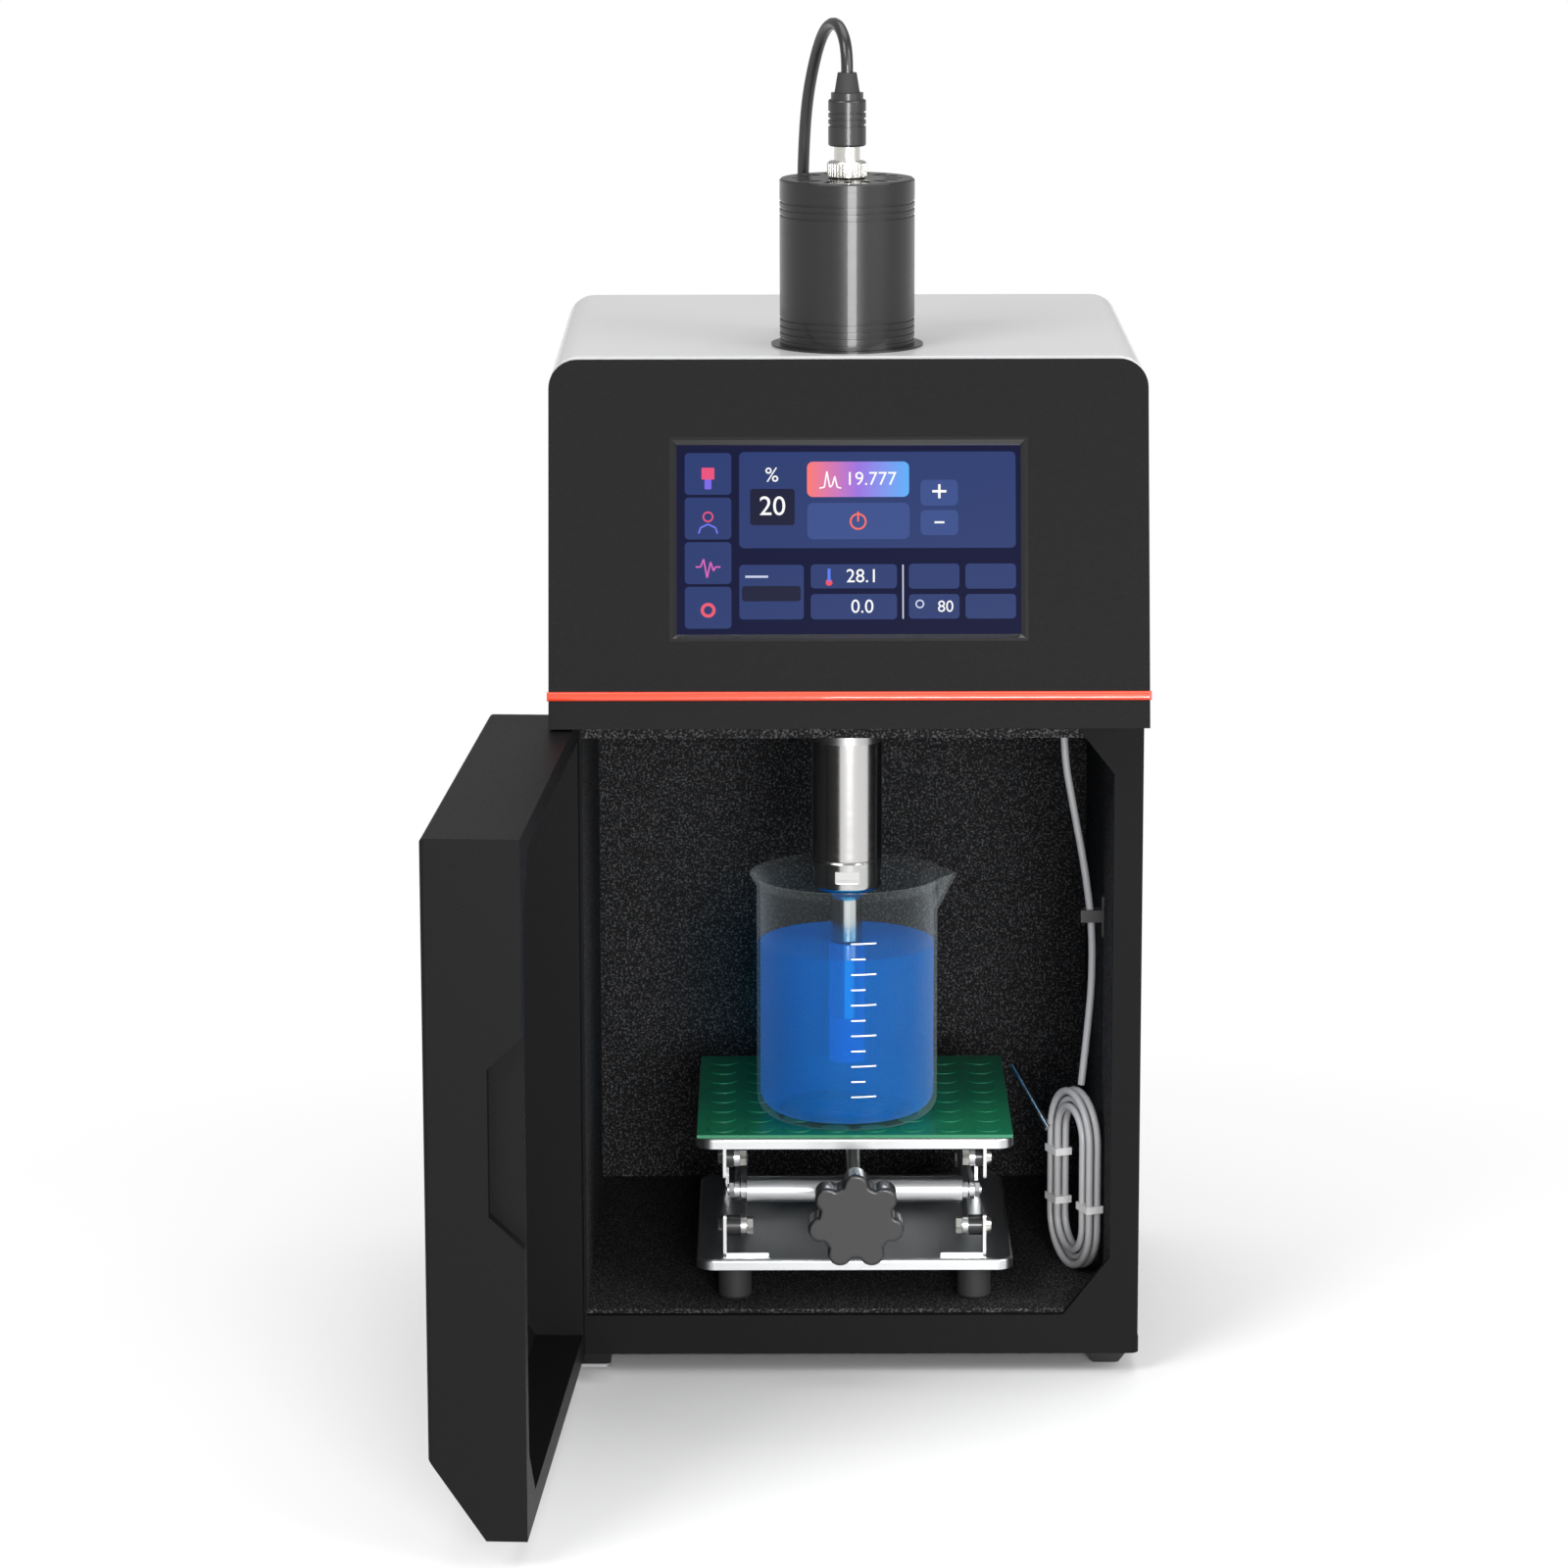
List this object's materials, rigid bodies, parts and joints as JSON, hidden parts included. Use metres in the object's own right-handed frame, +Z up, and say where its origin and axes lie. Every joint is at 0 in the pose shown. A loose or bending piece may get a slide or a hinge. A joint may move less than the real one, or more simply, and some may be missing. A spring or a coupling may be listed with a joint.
{
  "type": "probe sonicator",
  "caption": "Ultrasonic probe sonicator: generator head with a touch screen on a felt-lined sound cabinet, its door open, with a lifting table and a beaker under the horn.",
  "frame": {"origin": "on the horn's vertical axis at bench level, under the rubber feet", "axes": "+Z up, front towards -Y, the door hinged on the -X side"},
  "size_m": [0.3195, 0.5271, 0.634],
  "materials": {
    "rubber": "matt",
    "cabinet_black": "fine texture",
    "felt": "felt",
    "door_black": "fine texture",
    "steel_dark": "satin",
    "panel_black": "fine texture",
    "accent_red": "gloss",
    "bezel_black": "gloss",
    "display": "gloss",
    "cover_white": "semi-gloss",
    "inner_block": "matt",
    "anodised_black": "satin",
    "titanium": "polished",
    "collar_steel": "satin",
    "ceramic": "matt",
    "plug_black": "satin",
    "cable_black": "satin",
    "lead_grey": "satin",
    "probe_steel": "polished",
    "clip_black": "satin",
    "stainless": "brushed",
    "zinc": "bright",
    "spacer_black": "satin",
    "mat_green": "matt",
    "glass": "clear",
    "sample_blue": "clear"
  },
  "bodies": {
    "cabinet": {"accent_strip": "accent_red", "back_mass": "titanium", "back_panel": "cabinet_black", "base_pivot_bolts": "zinc", "base_pivot_spacers": "spacer_black", "base_tray": "cabinet_black", "cabinet_shell": "cabinet_black", "cable_gland": "plug_black", "corner_blocks": "cabinet_black", "cover_grommet": "anodised_black", "felt_back": "felt", "felt_ceiling": "felt", "felt_floor": "felt", "felt_sides": "felt", "front_panel": "panel_black", "head_base": "cabinet_black", "head_core": "inner_block", "horn_body": "titanium", "horn_collar": "collar_steel", "jack_base_brackets": "stainless", "jack_base_plate": "stainless", "jack_feet": "rubber", "lead_clip": "clip_black", "lower_hinge_bracket": "steel_dark", "mains_inlet": "bezel_black", "piezo_rings": "ceramic", "plug_nut": "zinc", "plug_sleeve": "plug_black", "probe_tip": "titanium", "rubber_feet": "rubber", "screen_bezel": "bezel_black", "strain_relief": "rubber", "switch_frame": "bezel_black", "temp_cable": "lead_grey", "temp_cable_coil": "lead_grey", "temp_probe": "probe_steel", "top_cover": "cover_white", "touch_screen": "display", "transducer_cable": "cable_black", "transducer_can": "anodised_black", "transducer_cap": "anodised_black", "transducer_flange": "titanium", "upper_hinge_pin": "steel_dark"},
    "door": {"door_shell": "door_black"},
    "rear_lower_arms": {"lower_arms_to_front": "stainless"},
    "front_lower_arms": {"lower_arms_to_rear": "stainless"},
    "front_tube": {"front_cross_tube": "stainless"},
    "rear_tube": {"rear_cross_tube": "stainless"},
    "front_upper_arms": {"upper_arms_from_front": "stainless"},
    "rear_upper_arms": {"upper_arms_from_rear": "stainless"},
    "screw": {"lift_screw": "zinc", "star_knob": "spacer_black"},
    "platform": {"jack_top_plate": "stainless", "jack_top_brackets": "stainless", "top_pivot_bolts": "zinc", "top_pivot_spacers": "spacer_black", "table_mat": "mat_green", "beaker": "glass", "sample_liquid": "sample_blue"},
    "rocker": {"switch_rocker": "bezel_black"}
  },
  "joints": [
    {"name": "door_hinge", "type": "hinge", "parent": "cabinet", "child": "door", "pos_m": [-0.1305, -0.0575, 0.16], "axis": [0, 0, 1], "range_deg": [-3, 93.3]},
    {"name": "lift", "type": "hinge", "parent": "cabinet", "child": "rear_lower_arms", "pos_m": [0.0033, 0.0895, 0.0663], "axis": [-1, 0, 0], "range_deg": [-2, 5.1]},
    {"name": "front_tube_turn", "type": "hinge", "parent": "rear_lower_arms", "child": "front_tube", "pos_m": [0.0033, -0.0235, 0.0831], "axis": [-1, 0, 0], "range_deg": [-5.2, 2.1]},
    {"name": "front_upper_turn", "type": "hinge", "parent": "front_tube", "child": "front_upper_arms", "pos_m": [0.0033, -0.0235, 0.0831], "axis": [-1, 0, 0], "range_deg": [-5.2, 2.1]},
    {"name": "platform_turn", "type": "hinge", "parent": "front_upper_arms", "child": "platform", "pos_m": [0.0033, 0.0895, 0.0999], "axis": [-1, 0, 0], "range_deg": [-2.1, 5.2]},
    {"name": "front_lower_turn", "type": "hinge", "parent": "cabinet", "child": "front_lower_arms", "pos_m": [0.0033, -0.0265, 0.0663], "axis": [-1, 0, 0], "range_deg": [-5.2, 2.1]},
    {"name": "rear_tube_turn", "type": "hinge", "parent": "front_lower_arms", "child": "rear_tube", "pos_m": [0.0033, 0.0865, 0.0831], "axis": [-1, 0, 0], "range_deg": [-2.1, 5.2]},
    {"name": "rear_upper_turn", "type": "hinge", "parent": "rear_tube", "child": "rear_upper_arms", "pos_m": [0.0033, 0.0865, 0.0831], "axis": [-1, 0, 0], "range_deg": [-2.1, 5.2]},
    {"name": "knob_turn", "type": "hinge", "parent": "front_tube", "child": "screw", "pos_m": [0.0033, -0.06, 0.0831], "axis": [0, 1, 0], "continuous": true},
    {"name": "power_rocker", "type": "hinge", "parent": "cabinet", "child": "rocker", "pos_m": [0.052, 0.198, 0.352], "axis": [1, 0, 0], "range_deg": [-5, 5]}
  ],
  "couplings": [
    {"joint": "front_tube_turn", "follows": "lift", "ratio": -1},
    {"joint": "front_upper_turn", "follows": "lift", "ratio": -1},
    {"joint": "platform_turn", "follows": "lift", "ratio": 1},
    {"joint": "front_lower_turn", "follows": "lift", "ratio": -1},
    {"joint": "rear_tube_turn", "follows": "lift", "ratio": 1},
    {"joint": "rear_upper_turn", "follows": "lift", "ratio": 1}
  ]
}
